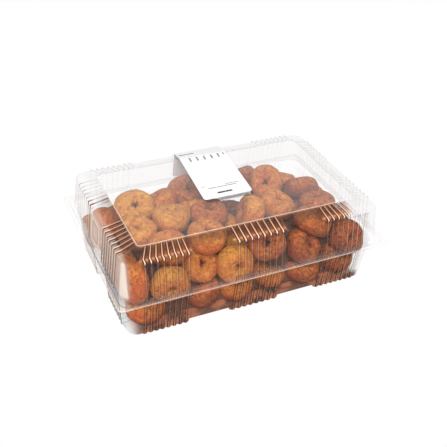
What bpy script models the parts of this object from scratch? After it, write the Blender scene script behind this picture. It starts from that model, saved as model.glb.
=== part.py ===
# A clear hinged-lid tray of mini doughnuts, shut, with a paper label over the lid
# Metres, +Z up; the origin is under the middle of the tray, at the height of its feet
import bpy
import bmesh
import math
import random
import numpy as np
from mathutils import Matrix, Vector

# Tray and lid, seen from above as half sizes along X and Y
RIM_HALF = (0.1700, 0.1140)
STEP_TOP_HALF = (0.1660, 0.1096)
STEP_FOOT_HALF = (0.1640, 0.1074)
LID_FOOT_HALF = (0.1615, 0.1040)
LID_TOP_HALF = (0.1580, 0.0980)
SHOULDER_HALF = (0.1370, 0.0770)
PANEL_HALF = (0.1360, 0.0760)
TRAY_TOP_HALF = (0.1580, 0.1000)
TRAY_FOOT_HALF = (0.1540, 0.0950)
SOLE_INNER_HALF = (0.1400, 0.0810)
FLOOR_HALF = (0.1380, 0.0790)

# Heights
FOOT_RISE = 0.0040
SEAM_Z = 0.0580
STEP_HEIGHT = 0.0012
LID_WALL_TOP_Z = 0.1010
SHOULDER_TOP_Z = 0.1058
PANEL_Z = 0.1080

# Sheet, seam and corners
SHEET = 0.0005
SOLE_SHEET = 0.0003
SEAM_GAP = 0.0004
TOUCH_GAP = 0.0003
RIM_CORNER = 0.0050
STEP_CORNER = 0.0090
WALL_CORNER = 0.0130
SHOULDER_CORNER = 0.0060
PANEL_CORNER = 0.0050
FLOOR_CORNER = 0.0100
CORNER_STEPS = 4
CORNER_ROOM = 0.0005

# Flutes: groups of ribs along the long and the short sides, mirrored about the middle
LONG_GROUPS = ((-0.139, -0.083), (-0.031, 0.031), (0.083, 0.139))
SHORT_GROUPS = ((-0.075, -0.021), (0.021, 0.075))
LONG_RIBS = 8
SHORT_RIBS = 7
GROUP_END = 0.0040
LONG_FLAT_HALF = 0.1000
SHORT_FLAT_HALF = 0.0500
LID_RIB_OUT = 0.0014
SHOULDER_RIB_OUT = 0.0006
SHOULDER_RIB_UP = 0.0018
TRAY_RIB_OUT = 0.0018
FLAT_OUT = 0.0010

# Paper label
LABEL_WIDTH = 0.0625
LABEL_THICK = 0.0003
LABEL_FRONT_Y = -0.0205
LABEL_DROP = 0.0360
LABEL_SLANT = 0.08
LABEL_X = -0.0043
LABEL_LIFT = 0.0001
LABEL_CORNER = 0.0040
LABEL_CORNER_STEPS = 3

# Doughnuts
DOUGHNUT_R = 0.0230
HOLE_R = 0.0035
HALF_THICK = 0.0120
ROUND_SIDES = 11
TUBE_SIDES = 6
DOUGHNUT_COUNT = 72
SEED = 11
PUSH_BALLS = 8
PUSH_R = 0.0118
SPREAD_STEPS = 240
HELD_SHARE = 0.3
DRAW_LOW = (-0.135, -0.050, 0.018)
DRAW_HIGH = (0.135, 0.080, 0.062)
DRAW_APART = 0.0280
DRAW_EASE = 0.00001
DRAW_UPRIGHT = (0.05, 1.0)
NEAR_UPRIGHT = 0.9
WALL_FIRM = 1.5
MOVE_SHARE = 2.0
TINY = 1e-9
SINK_STEP = 0.0004
SINK_SHARE = 0.7
WALL_ROOM = 0.0024
FLOOR_Z = 0.0052
TOP_Z = 0.1030

# Doughnuts that show at the top, the front and the left: X, Y, Z in mm, then the
# direction in which the axis leans and by how much, in degrees
SHOWN = (
    (-103, 26, 83, -80, 55),
    (-116, -20, 82, -100, 15),
    (-74, -13, 87, 60, 10),
    (-66, 38, 72, 100, 20),
    (-30, 52, 70, -60, 35),
    (-36, 20, 66, 60, 30),
    (-30, -22, 88, -90, 6),
    (58, 64, 66, 120, 30),
    (76, 30, 73, -130, 55),
    (108, 52, 60, 40, 30),
    (113, 9, 72, 70, 25),
    (114, -32, 74, 30, 14),
    (24, -26, 82, 160, 65),
    (58, -22, 80, 10, 20),
    (-140, -74, 60, 178, 84),
    (-101, -83, 56, -95, 84),
    (-56, -69, 57, -100, 50),
    (-24, -81, 57, -75, 78),
    (-50, -61, 89, -60, 12),
    (-94, -57, 77, -90, 20),
    (16, -80, 73, -120, 50),
    (74, -77, 58, -60, 55),
    (84, -68, 76, 20, 25),
    (130, -78, 50, -70, 60),
    (137, -44, 50, 0, 65),
    (-119, -72, 18, -100, 14),
    (-62, -74, 20, -100, 26),
    (-16, -73, 18, -90, 16),
    (29, -73, 19, -80, 18),
    (73, -73, 19, -90, 20),
    (122, -73, 19, -60, 16),
    (-143, 18, 68, 180, 84),
    (-138, -32, 46, 180, 70),
)

# The core under the doughnuts that show
CORE_HALF = (0.1340, 0.0740)
CORE_FLOOR_Z = 0.0120
CORE_CELLS = (9, 5)
CORE_COVER = 0.0190
FILL_TOP_Z = 0.0960
FILL_FLAT = (0.0800, 0.0050)
FILL_FALL = (0.40, 0.42)

# Colours and roughness
CLEAR_COLOUR = (0.93, 0.95, 0.94)
PAPER_COLOUR = (0.95, 0.95, 0.94)
CRUST_COLOUR = (0.55, 0.27, 0.09)
CLEAR_ROUGH = 0.08
PAPER_ROUGH = 0.6
CRUST_ROUGH = 0.7
CLEAR_ALPHA = 0.25
CLEAR_TRANSMISSION = 0.8


def material(name, colour, roughness, metallic=0.0, alpha=1.0, transmission=0.0):
    mat = bpy.data.materials.new(name)
    mat.use_nodes = True
    shader = mat.node_tree.nodes["Principled BSDF"]
    shader.inputs["Base Color"].default_value = (*colour, 1.0)
    shader.inputs["Roughness"].default_value = roughness
    shader.inputs["Metallic"].default_value = metallic
    shader.inputs["Alpha"].default_value = alpha
    shader.inputs["Transmission Weight"].default_value = transmission
    return mat


def add_object(name, bm, mat):
    mesh = bpy.data.meshes.new(name)
    bm.to_mesh(mesh)
    bm.free()
    mesh.materials.append(mat)
    obj = bpy.data.objects.new(name, mesh)
    bpy.context.scene.collection.objects.link(obj)
    return obj


# Marks along one side: place, whether it is a rib's crest, a framed flat or on a foot
def side_marks(groups, ribs, half_flat):
    marks = []
    for start, end in groups:
        pitch = (end - start) / ribs
        if start > -half_flat:
            marks.append((start - GROUP_END, False, True, False))
        for index in range(ribs):
            marks.append((start + index * pitch, False, False, True))
            marks.append((start + (index + 0.5) * pitch, True, False, True))
        marks.append((end, False, False, True))
        if end < half_flat:
            marks.append((end + GROUP_END, False, True, False))
    return marks


LONG_MARKS = side_marks(LONG_GROUPS, LONG_RIBS, LONG_FLAT_HALF)
SHORT_MARKS = side_marks(SHORT_GROUPS, SHORT_RIBS, SHORT_FLAT_HALF)


# Where the feet along a side begin and end
def foot_marks(marks):
    kept = []
    for before, mark, after in zip(marks[-1:] + marks, marks, marks[1:] + marks[:1]):
        if before[3] != mark[3] or after[3] != mark[3]:
            kept.append(mark)
    return kept


# A place on a side, drawn in where its outer group would run on past the straight part
def drawn_in(place, group, straight):
    start, end = group
    past = abs(place) - start
    if past <= 0.0 or end <= straight:
        return place
    return math.copysign(start + past * (straight - start) / (end - start), place)


# One closed outline; crests stand out and up, and what isn't on a foot is raised
def outline(half, corner, z, marks=(), inset=0.0, rib_out=0.0, rib_up=0.0, flat_out=0.0,
            off_foot=0.0):
    points = []
    corner = corner - inset
    for quarter in range(4):
        along, across = (half[0] - inset, half[1] - inset)[::1 if quarter % 2 == 0 else -1]
        group = (LONG_GROUPS[-1], SHORT_GROUPS[-1])[quarter % 2]
        side = []
        for place, crest, flat, foot in marks[quarter % 2] if marks else ():
            place = drawn_in(place, group, along - corner - CORNER_ROOM)
            out = across + rib_out * crest + flat_out * flat * (quarter % 2)
            side.append((place, -out, z + rib_up * crest + off_foot * (not foot)))
        for step in range(CORNER_STEPS + 1):
            angle = math.radians(90.0 * step / CORNER_STEPS - 90.0)
            x = along - corner + corner * math.cos(angle)
            y = -across + corner + corner * math.sin(angle)
            side.append((x, y, z))
        turn = quarter * math.pi / 2.0
        cos, sin = round(math.cos(turn)), round(math.sin(turn))
        points += [(x * cos - y * sin, x * sin + y * cos, height) for x, y, height in side]
    return points


def add_loop(bm, points):
    verts = [bm.verts.new(point) for point in points]
    return verts, [bm.edges.new((verts[i - 1], verts[i])) for i in range(len(verts))]


# Triangles between two outlines with different numbers of points, by the shorter diagonal
def zip_outlines(bm, near, far):
    steps_near, steps_far = 0, 0
    while steps_near < len(near) or steps_far < len(far):
        here, there = near[steps_near % len(near)], far[steps_far % len(far)]
        next_here, next_there = near[(steps_near + 1) % len(near)], far[(steps_far + 1) % len(far)]
        along_near = (next_here.co - there.co).length
        along_far = (next_there.co - here.co).length
        if steps_far == len(far) or (steps_near < len(near) and along_near < along_far):
            bm.faces.new((here, next_here, there))
            steps_near += 1
        else:
            bm.faces.new((here, next_there, there))
            steps_far += 1


# Extrude an outline to the next one, which has as many points
def extrude_to(bm, verts, points):
    edges = [bm.edges.get((verts[i - 1], verts[i])) for i in range(len(verts))]
    made = set(bmesh.ops.extrude_edge_only(bm, edges=edges)["geom"])
    moved = []
    for vert, point in zip(verts, points):
        ends = [edge.other_vert(vert) for edge in vert.link_edges]
        twin = next(end for end in ends if end in made)
        twin.co = point
        moved.append(twin)
    return moved


# A closed shell: over the inside from its middle to the rim and back over the outside
def shell_through(inside, outside):
    bm = bmesh.new()
    outlines = inside[::-1] + outside
    verts, edges = add_loop(bm, outlines[0])
    bmesh.ops.contextual_create(bm, geom=edges)
    for points in outlines[1:]:
        if len(points) == len(verts):
            verts = extrude_to(bm, verts, points)
        else:
            near = verts
            verts, edges = add_loop(bm, points)
            zip_outlines(bm, near, verts)
    bmesh.ops.contextual_create(bm, geom=verts)
    bmesh.ops.recalc_face_normals(bm, faces=bm.faces)
    return bm


# One face of the tray's sheet: the outside, or the inside with the sheet's thickness
def tray_outlines(thick, foot_thick):
    band_z = SEAM_Z - SEAM_GAP / 2.0 - SHEET + thick
    ledge_z = band_z - STEP_HEIGHT
    flutes = (LONG_MARKS, SHORT_MARKS)
    feet = (foot_marks(LONG_MARKS), foot_marks(SHORT_MARKS))
    return [
        outline(RIM_HALF, RIM_CORNER, band_z),
        outline(STEP_TOP_HALF, STEP_CORNER, band_z),
        outline(STEP_FOOT_HALF, STEP_CORNER, ledge_z),
        outline(TRAY_TOP_HALF, WALL_CORNER, ledge_z, flutes, thick,
                rib_out=TRAY_RIB_OUT, flat_out=FLAT_OUT),
        outline(TRAY_FOOT_HALF, WALL_CORNER, thick, flutes, thick,
                rib_out=TRAY_RIB_OUT, off_foot=FOOT_RISE),
        outline(SOLE_INNER_HALF, FLOOR_CORNER, thick, feet, -foot_thick, off_foot=FOOT_RISE),
        outline(FLOOR_HALF, FLOOR_CORNER, FOOT_RISE + thick, feet, -foot_thick),
    ]


def build_tray(mat):
    bm = shell_through(tray_outlines(SHEET, SOLE_SHEET), tray_outlines(0.0, 0.0))
    return add_object("tray", bm, mat)


# One face of the lid's sheet: the outside, or the inside with the sheet's thickness
def lid_outlines(thick):
    band_z = SEAM_Z + SEAM_GAP / 2.0 + SHEET - thick
    ledge_z = band_z - STEP_HEIGHT
    flutes = (LONG_MARKS, SHORT_MARKS)
    return [
        outline(RIM_HALF, RIM_CORNER, band_z),
        outline(STEP_TOP_HALF, STEP_CORNER, band_z),
        outline(STEP_FOOT_HALF, STEP_CORNER, ledge_z),
        outline(LID_FOOT_HALF, WALL_CORNER, ledge_z, flutes, thick,
                rib_out=LID_RIB_OUT, flat_out=FLAT_OUT),
        outline(LID_TOP_HALF, WALL_CORNER, LID_WALL_TOP_Z - thick, flutes, thick,
                rib_out=SHOULDER_RIB_OUT, rib_up=SHOULDER_RIB_UP, flat_out=FLAT_OUT),
        outline(SHOULDER_HALF, SHOULDER_CORNER, SHOULDER_TOP_Z - thick, flutes, thick / 2.0,
                rib_up=SHOULDER_RIB_UP),
        outline(PANEL_HALF, PANEL_CORNER, PANEL_Z - thick, inset=thick / 2.0),
    ]


def build_lid(mat):
    return add_object("lid", shell_through(lid_outlines(SHEET), lid_outlines(0.0)), mat)


# A strip along the panel, over the back edge and down the back wall
def build_label(mat):
    drop = LABEL_DROP / (LID_WALL_TOP_Z - SEAM_Z)
    crest_top = LID_TOP_HALF[1] + SHOULDER_RIB_OUT + TOUCH_GAP + LABEL_LIFT
    crest_foot = LID_FOOT_HALF[1] + LID_RIB_OUT + TOUCH_GAP + LABEL_LIFT
    edge_z = LID_WALL_TOP_Z + SHOULDER_RIB_UP + TOUCH_GAP + LABEL_LIFT
    profile = (
        (LABEL_FRONT_Y, PANEL_Z + TOUCH_GAP),
        (PANEL_HALF[1] + TOUCH_GAP, PANEL_Z + TOUCH_GAP),
        (crest_top, edge_z),
        (crest_top + drop * (crest_foot - crest_top), LID_WALL_TOP_Z - LABEL_DROP),
    )
    bm = bmesh.new()
    rows = []
    for y, z in profile:
        middle = LABEL_X + LABEL_SLANT * (y - LABEL_FRONT_Y)
        rows.append([bm.verts.new((middle + side * LABEL_WIDTH / 2.0, y, z)) for side in (-1, 1)])
    for near, far in zip(rows, rows[1:]):
        bm.faces.new((near[0], near[1], far[1], far[0]))
    bmesh.ops.bevel(bm, geom=rows[0] + rows[-1], affect="VERTICES", offset=LABEL_CORNER,
                    segments=LABEL_CORNER_STEPS, profile=0.5, material=-1)
    bmesh.ops.recalc_face_normals(bm, faces=bm.faces)
    if sum(face.normal.z * face.calc_area() for face in bm.faces) < 0.0:
        bmesh.ops.reverse_faces(bm, faces=bm.faces)
    label = add_object("label", bm, mat)
    paper = label.modifiers.new("paper", "SOLIDIFY")
    paper.thickness = LABEL_THICK
    paper.offset = 1.0
    return label


# Height of the pile's top: level in front, falling to the back wall and to the right
def fill_height(x, y):
    fall_x = FILL_FALL[0] * max(0.0, x - FILL_FLAT[0])
    fall_y = FILL_FALL[1] * max(0.0, y - FILL_FLAT[1])
    return FILL_TOP_Z - fall_x - fall_y


# Unit direction of an axis that leans by a tilt towards a heading
def leaning(heading, tilt):
    return (math.sin(tilt) * math.cos(heading), math.sin(tilt) * math.sin(heading), math.cos(tilt))


# First places: those that show as listed, the rest drawn below them and apart
def first_places():
    draw = random.Random(SEED)
    places = [(x / 1000.0, y / 1000.0, z / 1000.0) for x, y, z, heading, tilt in SHOWN]
    axes = [leaning(math.radians(heading), math.radians(tilt)) for x, y, z, heading, tilt in SHOWN]
    tries = 0
    while len(places) < DOUGHNUT_COUNT:
        place = tuple(draw.uniform(low, high) for low, high in zip(DRAW_LOW, DRAW_HIGH))
        tries += 1
        if min(math.dist(place, other) for other in places) < DRAW_APART - tries * DRAW_EASE:
            continue
        places.append(place)
        axes.append(leaning(draw.uniform(-math.pi, math.pi), math.acos(draw.uniform(*DRAW_UPRIGHT))))
    return np.array(places), np.array(axes)


# Centres of the balls that stand for each doughnut's ring
def ring_balls(places, axes):
    upright = np.where(np.abs(axes[:, 2:3]) < NEAR_UPRIGHT, (0.0, 0.0, 1.0), (1.0, 0.0, 0.0))
    spoke_a = np.cross(upright, axes)
    spoke_a = spoke_a / np.sqrt((spoke_a ** 2).sum(1, keepdims=True))
    spoke_b = np.cross(axes, spoke_a)
    turn = np.arange(PUSH_BALLS) * 2.0 * math.pi / PUSH_BALLS
    cos, sin = np.cos(turn)[None, :, None], np.sin(turn)[None, :, None]
    spokes = cos * spoke_a[:, None, :] + sin * spoke_b[:, None, :]
    return places[:, None, :] + (DOUGHNUT_R - PUSH_R) * spokes


# How far each ball is pushed back from the tray's and the lid's walls
def wall_push(balls):
    push = np.zeros_like(balls)
    heights = (0.0, SEAM_Z, LID_WALL_TOP_Z)
    slope = (SHOULDER_TOP_Z - LID_WALL_TOP_Z) / (LID_TOP_HALF[0] - SHOULDER_HALF[0])
    under_shoulder = np.zeros(balls.shape[:2])
    for direction in (0, 1):
        limits = [half[direction] for half in (TRAY_FOOT_HALF, TRAY_TOP_HALF, LID_TOP_HALF)]
        room = np.interp(balls[..., 2], heights, limits) - WALL_ROOM - PUSH_R
        off_middle = np.abs(balls[..., direction])
        push[..., direction] = -np.sign(balls[..., direction]) * np.clip(off_middle - room, 0.0, None)
        past = np.clip(off_middle + PUSH_R / 2.0 - SHOULDER_HALF[direction], 0.0, None)
        under_shoulder = np.maximum(under_shoulder, slope * past)
    below = np.clip(FLOOR_Z + PUSH_R - balls[..., 2], 0.0, None)
    above = np.clip(balls[..., 2] + PUSH_R - TOP_Z + under_shoulder, 0.0, None)
    push[..., 2] = below - above
    return push


# Spread the doughnuts until none overlaps another; the ones that show barely move
def spread_doughnuts():
    places, axes = first_places()
    first, second = np.triu_indices(len(places), 1)
    drawn = (np.arange(len(places)) >= len(SHOWN))[:, None]
    ease = np.where(drawn, 1.0, HELD_SHARE)
    for step in range(SPREAD_STEPS):
        if step < SPREAD_STEPS * SINK_SHARE:
            places[:, 2:] -= SINK_STEP * drawn
        balls = ring_balls(places, axes)
        apart = np.sqrt(((places[first] - places[second]) ** 2).sum(1))
        near = apart < 2.0 * DOUGHNUT_R
        one, two = first[near], second[near]
        gap = balls[one][:, :, None, :] - balls[two][:, None, :, :]
        reach = np.sqrt((gap ** 2).sum(3)) + TINY
        overlap = np.clip(2.0 * PUSH_R - reach, 0.0, None)
        shove = 0.5 * gap * (overlap / reach)[..., None]
        push = wall_push(balls)
        touches = 1.0 + (np.abs(push) > 0.0).sum((1, 2))
        push *= WALL_FIRM
        np.add.at(push, one, shove.sum(2))
        np.add.at(push, two, -shove.sum(1))
        np.add.at(touches, one, (overlap > 0.0).sum((1, 2)))
        np.add.at(touches, two, (overlap > 0.0).sum((1, 2)))
        share = MOVE_SHARE * ease / touches[:, None]
        turn = np.cross(balls - places[:, None, :], push).sum(1) / (DOUGHNUT_R - PUSH_R) ** 2
        places += share * push.sum(1)
        axes += np.cross(share * turn, axes)
        axes /= np.sqrt((axes ** 2).sum(1, keepdims=True))
    return places, axes


# One few-sided doughnut, spun about its own axis and then set in its place
def doughnut_mesh(place, axis):
    bm = bmesh.new()
    half_width = (DOUGHNUT_R - HOLE_R) / 2.0
    section = []
    for index in range(TUBE_SIDES):
        angle = 2.0 * math.pi * (index + 0.5) / TUBE_SIDES
        out = HOLE_R + half_width + half_width * math.cos(angle)
        section.append((out, 0.0, HALF_THICK * math.sin(angle)))
    verts, edges = add_loop(bm, section)
    bmesh.ops.spin(bm, geom=verts + edges, cent=(0, 0, 0), axis=(0, 0, 1),
                   angle=2.0 * math.pi, steps=ROUND_SIDES, use_merge=True)
    bmesh.ops.recalc_face_normals(bm, faces=bm.faces)
    turn = Vector((0.0, 0.0, 1.0)).rotation_difference(Vector(axis)).to_matrix().to_4x4()
    bm.transform(Matrix.Translation(Vector(place)) @ turn)
    return bm


# The core: a flat floor under a top that follows the pile, a little below its surface
def core_mesh():
    bm = bmesh.new()
    bmesh.ops.create_grid(bm, x_segments=CORE_CELLS[0], y_segments=CORE_CELLS[1], size=1.0)
    for vert in bm.verts:
        x, y = vert.co.x * CORE_HALF[0], vert.co.y * CORE_HALF[1]
        vert.co = (x, y, fill_height(x, y) - CORE_COVER)
    floor = bmesh.ops.extrude_face_region(bm, geom=bm.faces[:])["geom"]
    for item in floor:
        if isinstance(item, bmesh.types.BMVert):
            item.co.z = CORE_FLOOR_Z
    bmesh.ops.recalc_face_normals(bm, faces=bm.faces)
    return bm


# Keep the largest closed shell: sealed hollows fill up and loose scraps go
def keep_largest_shell(bm):
    left = set(bm.verts)
    shells = []
    while left:
        shell, edge_of = set(), [left.pop()]
        while edge_of:
            vert = edge_of.pop()
            shell.add(vert)
            for edge in vert.link_edges:
                other = edge.other_vert(vert)
                if other in left:
                    left.discard(other)
                    edge_of.append(other)
        shells.append(shell)
    largest = max(shells, key=len)
    spare = [vert for shell in shells if shell is not largest for vert in shell]
    bmesh.ops.delete(bm, geom=spare, context="VERTS")


def build_heap(mat):
    heap = add_object("doughnut_heap", core_mesh(), mat)
    pieces = bpy.data.collections.new("doughnuts")
    bpy.context.scene.collection.children.link(pieces)
    for index, (place, axis) in enumerate(zip(*spread_doughnuts())):
        mesh = bpy.data.meshes.new("doughnut")
        bm = doughnut_mesh(place, axis)
        bm.to_mesh(mesh)
        bm.free()
        pieces.objects.link(bpy.data.objects.new("doughnut_%02d" % index, mesh))
    join = heap.modifiers.new("join", "BOOLEAN")
    join.operation = "UNION"
    join.operand_type = "COLLECTION"
    join.collection = pieces
    join.solver = "MANIFOLD"
    bpy.context.view_layer.update()
    depsgraph = bpy.context.evaluated_depsgraph_get()
    fused = bpy.data.meshes.new_from_object(heap.evaluated_get(depsgraph))
    heap.modifiers.clear()
    bm = bmesh.new()
    bm.from_mesh(fused)
    keep_largest_shell(bm)
    bmesh.ops.triangulate(bm, faces=bm.faces)
    bm.to_mesh(fused)
    bm.free()
    heap.data = fused
    for piece in list(pieces.objects):
        bpy.data.objects.remove(piece, do_unlink=True)
    bpy.data.collections.remove(pieces)
    return heap


def main():
    for obj in list(bpy.data.objects):
        bpy.data.objects.remove(obj, do_unlink=True)
    clear = material("clear_plastic", CLEAR_COLOUR, CLEAR_ROUGH, alpha=CLEAR_ALPHA,
                     transmission=CLEAR_TRANSMISSION)
    paper = material("label_paper", PAPER_COLOUR, PAPER_ROUGH)
    crust = material("doughnut_crust", CRUST_COLOUR, CRUST_ROUGH)
    build_tray(clear)
    build_lid(clear)
    build_label(paper)
    build_heap(crust)


main()
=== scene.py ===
"""Looks of a clear hinged box of mini doughnuts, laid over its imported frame."""

import math
import random

import bmesh
import bpy
import numpy as np
from bpy.props import FloatProperty, FloatVectorProperty, PointerProperty
from mathutils import Matrix, Vector, noise


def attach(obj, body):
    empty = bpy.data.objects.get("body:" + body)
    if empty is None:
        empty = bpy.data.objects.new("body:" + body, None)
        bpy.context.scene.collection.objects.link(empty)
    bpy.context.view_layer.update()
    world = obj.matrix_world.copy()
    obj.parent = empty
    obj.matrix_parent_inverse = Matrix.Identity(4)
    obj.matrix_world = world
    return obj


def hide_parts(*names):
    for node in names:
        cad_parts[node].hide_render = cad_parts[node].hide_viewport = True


bl_info = {
    "name": "Box of Doughnuts",
    "version": (1, 0, 0),
    "blender": (4, 5, 0),
    "location": "3D View > Sidebar > Doughnut Box",
    "description": "A clear hinged box, its paper label and the doughnuts in it",
    "category": "Object",
}

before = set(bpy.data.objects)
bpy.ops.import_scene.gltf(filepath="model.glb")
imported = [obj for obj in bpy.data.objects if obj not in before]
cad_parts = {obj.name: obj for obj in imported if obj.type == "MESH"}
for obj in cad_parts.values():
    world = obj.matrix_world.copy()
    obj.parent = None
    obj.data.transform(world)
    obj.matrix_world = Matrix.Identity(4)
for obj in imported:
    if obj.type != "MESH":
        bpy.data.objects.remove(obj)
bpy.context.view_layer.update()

# Box outlines from above as half sizes, and heights, as the frame's solids have them
RIM_HALF = (0.1700, 0.1140)
STEP_TOP_HALF = (0.1660, 0.1096)
STEP_FOOT_HALF = (0.1640, 0.1074)
LID_FOOT_HALF = (0.1615, 0.1040)
LID_TOP_HALF = (0.1580, 0.0980)
SHOULDER_HALF = (0.1370, 0.0770)
PANEL_HALF = (0.1360, 0.0760)
TRAY_TOP_HALF = (0.1580, 0.1000)
TRAY_FOOT_HALF = (0.1540, 0.0950)
SOLE_INNER_HALF = (0.1400, 0.0810)
FLOOR_HALF = (0.1380, 0.0790)
FOOT_RISE = 0.0040
SEAM_Z = 0.0580
SEAM_GAP = 0.0004
STEP_HEIGHT = 0.0012
LID_WALL_TOP_Z = 0.1010
SHOULDER_TOP_Z = 0.1058
PANEL_Z = 0.1080
RIM_CORNER = 0.0050
STEP_CORNER = 0.0090
WALL_CORNER = 0.0130
SHOULDER_CORNER = 0.0060
PANEL_CORNER = 0.0050
FLOOR_CORNER = 0.0100
CORNER_ROOM = 0.0005

# Outlines between those, where the sheet's painted highlights, painted shade, haze and painted reflection
# change
TRAY_LOW_HALF = (0.1548, 0.0960)
TRAY_LOW_Z = 0.0130
TRAY_TOE_HALF = (0.1542, 0.0952)
TRAY_TOE_Z = 0.0050
FLOOR_INNER_HALF = (0.1300, 0.0710)
RIM_INNER_HALF = (0.1692, 0.1132)
STEP_OUTER_HALF = (0.1664, 0.1100)
LID_HIGH_HALF = (0.1584, 0.0985)
LID_HIGH_Z = 0.0960
LID_HIGH_RIB_SHARE = 1.1
LID_BROW_HALF = (0.1581, 0.0982)
LID_BROW_Z = 0.0990
LID_BROW_RIB_UP = 0.0005
SHOULDER_LOW_HALF = (0.1530, 0.0930)
SHOULDER_LOW_CORNER = 0.0113
SHOULDER_LOW_Z = 0.1020
PANEL_FOOT_HALF = (0.1363, 0.0763)
PANEL_FOOT_Z = 0.1073
PANEL_EDGE_HALF = (0.1352, 0.0752)
PANEL_INNER_HALF = (0.1310, 0.0710)
BEND_STEPS = 4
BEND_SHARE = 0.48
SHARP_DEGREES = 50.0

# Flutes in groups along the long and the short sides
LONG_GROUPS = ((-0.139, -0.083), (-0.031, 0.031), (0.083, 0.139))
SHORT_GROUPS = ((-0.075, -0.021), (0.021, 0.075))
LONG_RIBS = 8
SHORT_RIBS = 7
RIB_POINTS = 12
CORNER_POINTS = 10
LONG_FLAT_POINTS = 10
SHORT_FLAT_POINTS = 14
GROUP_END = 0.0040
GROUP_END_SHARE = 0.75
CREST_POWER = 0.8
HALF_FOOT = 0.5
WHOLE_FOOT = 0.9
LID_RIB_OUT = 0.0014
SHOULDER_RIB_OUT = 0.0006
SHOULDER_RIB_UP = 0.0018
SHOULDER_TOP_RIB_SHARE = 0.9
TRAY_RIB_OUT = 0.0018
FLAT_OUT = 0.0010

# Label
LABEL_WIDTH = 0.0625
LABEL_FRONT_Y = -0.0205
LABEL_DROP = 0.0360
LABEL_SLANT = 0.08
LABEL_X = -0.0043
LABEL_CORNER = 0.0040
TOUCH_GAP = 0.0003
MARK_BLUR = 0.0002
PRINTED_SIDE = 0.1
BROKEN_INK = (0.0018, 2.0, 0.6, 0.30, 0.44)
FIBRE = (0.0012, 3.0)
FIBRE_SHARE = 0.06
FIBRE_COLOUR = (0.80, 0.80, 0.79)

# Marks on the label: left, right, front, back, and how dark
LABEL_MARKS = (
    (-0.0290, -0.0080, 0.0872, 0.0894, 1.0),
    (-0.0200, -0.0177, 0.0650, 0.0750, 0.8),
    (-0.0105, -0.0082, 0.0650, 0.0745, 0.8),
    (-0.0008, 0.0015, 0.0645, 0.0740, 0.8),
    (0.0090, 0.0113, 0.0640, 0.0735, 0.8),
    (0.0185, 0.0208, 0.0645, 0.0740, 0.8),
    (0.0262, 0.0284, 0.0690, 0.0740, 0.6),
    (0.0045, 0.0220, 0.0032, 0.0048, 0.6),
    (-0.0190, 0.0175, -0.0004, 0.0012, 0.75),
    (-0.0260, -0.0205, 0.0048, 0.0066, 0.5),
    (-0.0110, 0.0080, -0.0128, -0.0096, 1.0),
)

# Where the doughnuts lie: the frame's own rule and numbers
DOUGHNUT_COUNT = 72
SEED = 11
PUSH_BALLS = 8
PUSH_R = 0.0118
SPREAD_STEPS = 240
HELD_SHARE = 0.3
DRAW_LOW = (-0.135, -0.050, 0.018)
DRAW_HIGH = (0.135, 0.080, 0.062)
DRAW_APART = 0.0280
DRAW_EASE = 0.00001
DRAW_UPRIGHT = (0.05, 1.0)
SINK_STEP = 0.0004
SINK_SHARE = 0.7
WALL_ROOM = 0.0024
FLOOR_Z = 0.0052
TOP_Z = 0.1030
WALL_PUSH = 1.5
TINY = 1e-9
TINY_LENGTH = 1e-6
CORE_HALF = (0.1340, 0.0740)
CORE_FLOOR_Z = 0.0120
CORE_CELLS = (9, 5)
CORE_COVER = 0.0190
CORE_SINK = 0.014
CORE_TOP_SHARE = (0.92, 0.80)
CORE_SPREAD = (1.14, 1.36)
FILL_TOP_Z = 0.0960
FILL_FLAT = (0.0800, 0.0050)
FILL_FALL = (0.40, 0.42)

# Those that show: place in millimetres, heading and tilt in degrees
SHOWN = (
    (-103, 26, 83, -80, 55),
    (-116, -20, 82, -100, 15),
    (-74, -13, 87, 60, 10),
    (-66, 38, 72, 100, 20),
    (-30, 52, 70, -60, 35),
    (-36, 20, 66, 60, 30),
    (-30, -22, 88, -90, 6),
    (58, 64, 66, 120, 30),
    (76, 30, 73, -130, 55),
    (108, 52, 60, 40, 30),
    (113, 9, 72, 70, 25),
    (114, -32, 74, 30, 14),
    (24, -26, 82, 160, 65),
    (58, -22, 80, 10, 20),
    (-140, -74, 60, 178, 84),
    (-101, -83, 56, -95, 84),
    (-56, -69, 57, -100, 50),
    (-24, -81, 57, -75, 78),
    (-50, -61, 89, -60, 12),
    (-94, -57, 77, -90, 20),
    (16, -80, 73, -120, 50),
    (74, -77, 58, -60, 55),
    (84, -68, 76, 20, 25),
    (130, -78, 50, -70, 60),
    (137, -44, 50, 0, 65),
    (-119, -72, 18, -100, 14),
    (-62, -74, 20, -100, 26),
    (-16, -73, 18, -90, 16),
    (29, -73, 19, -80, 18),
    (73, -73, 19, -90, 20),
    (122, -73, 19, -60, 16),
    (-143, 18, 68, 180, 84),
    (-138, -32, 46, 180, 70),
)

# The crust of each that shows: golden, amber or russet
SHOWN_CRUST = "gggararraarrgaagagaarrrrraraarraa"
CRUSTS = "gar"
CRUST_SHARES = (0.25, 0.40, 0.35)
PALE_CRUSTS = ((0.77, 0.39, 0.066), (0.76, 0.31, 0.050), (0.68, 0.22, 0.044))
DARKEST_SHARE = 0.42

# One even doughnut
TUBE_POINTS = 26
ROUND_POINTS = 56
OUTER_BULGE = 0.88
INNER_BULGE = 0.62
FACE_BULGE = 0.85
HOLE_SHADOW_POWER = 5
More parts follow.
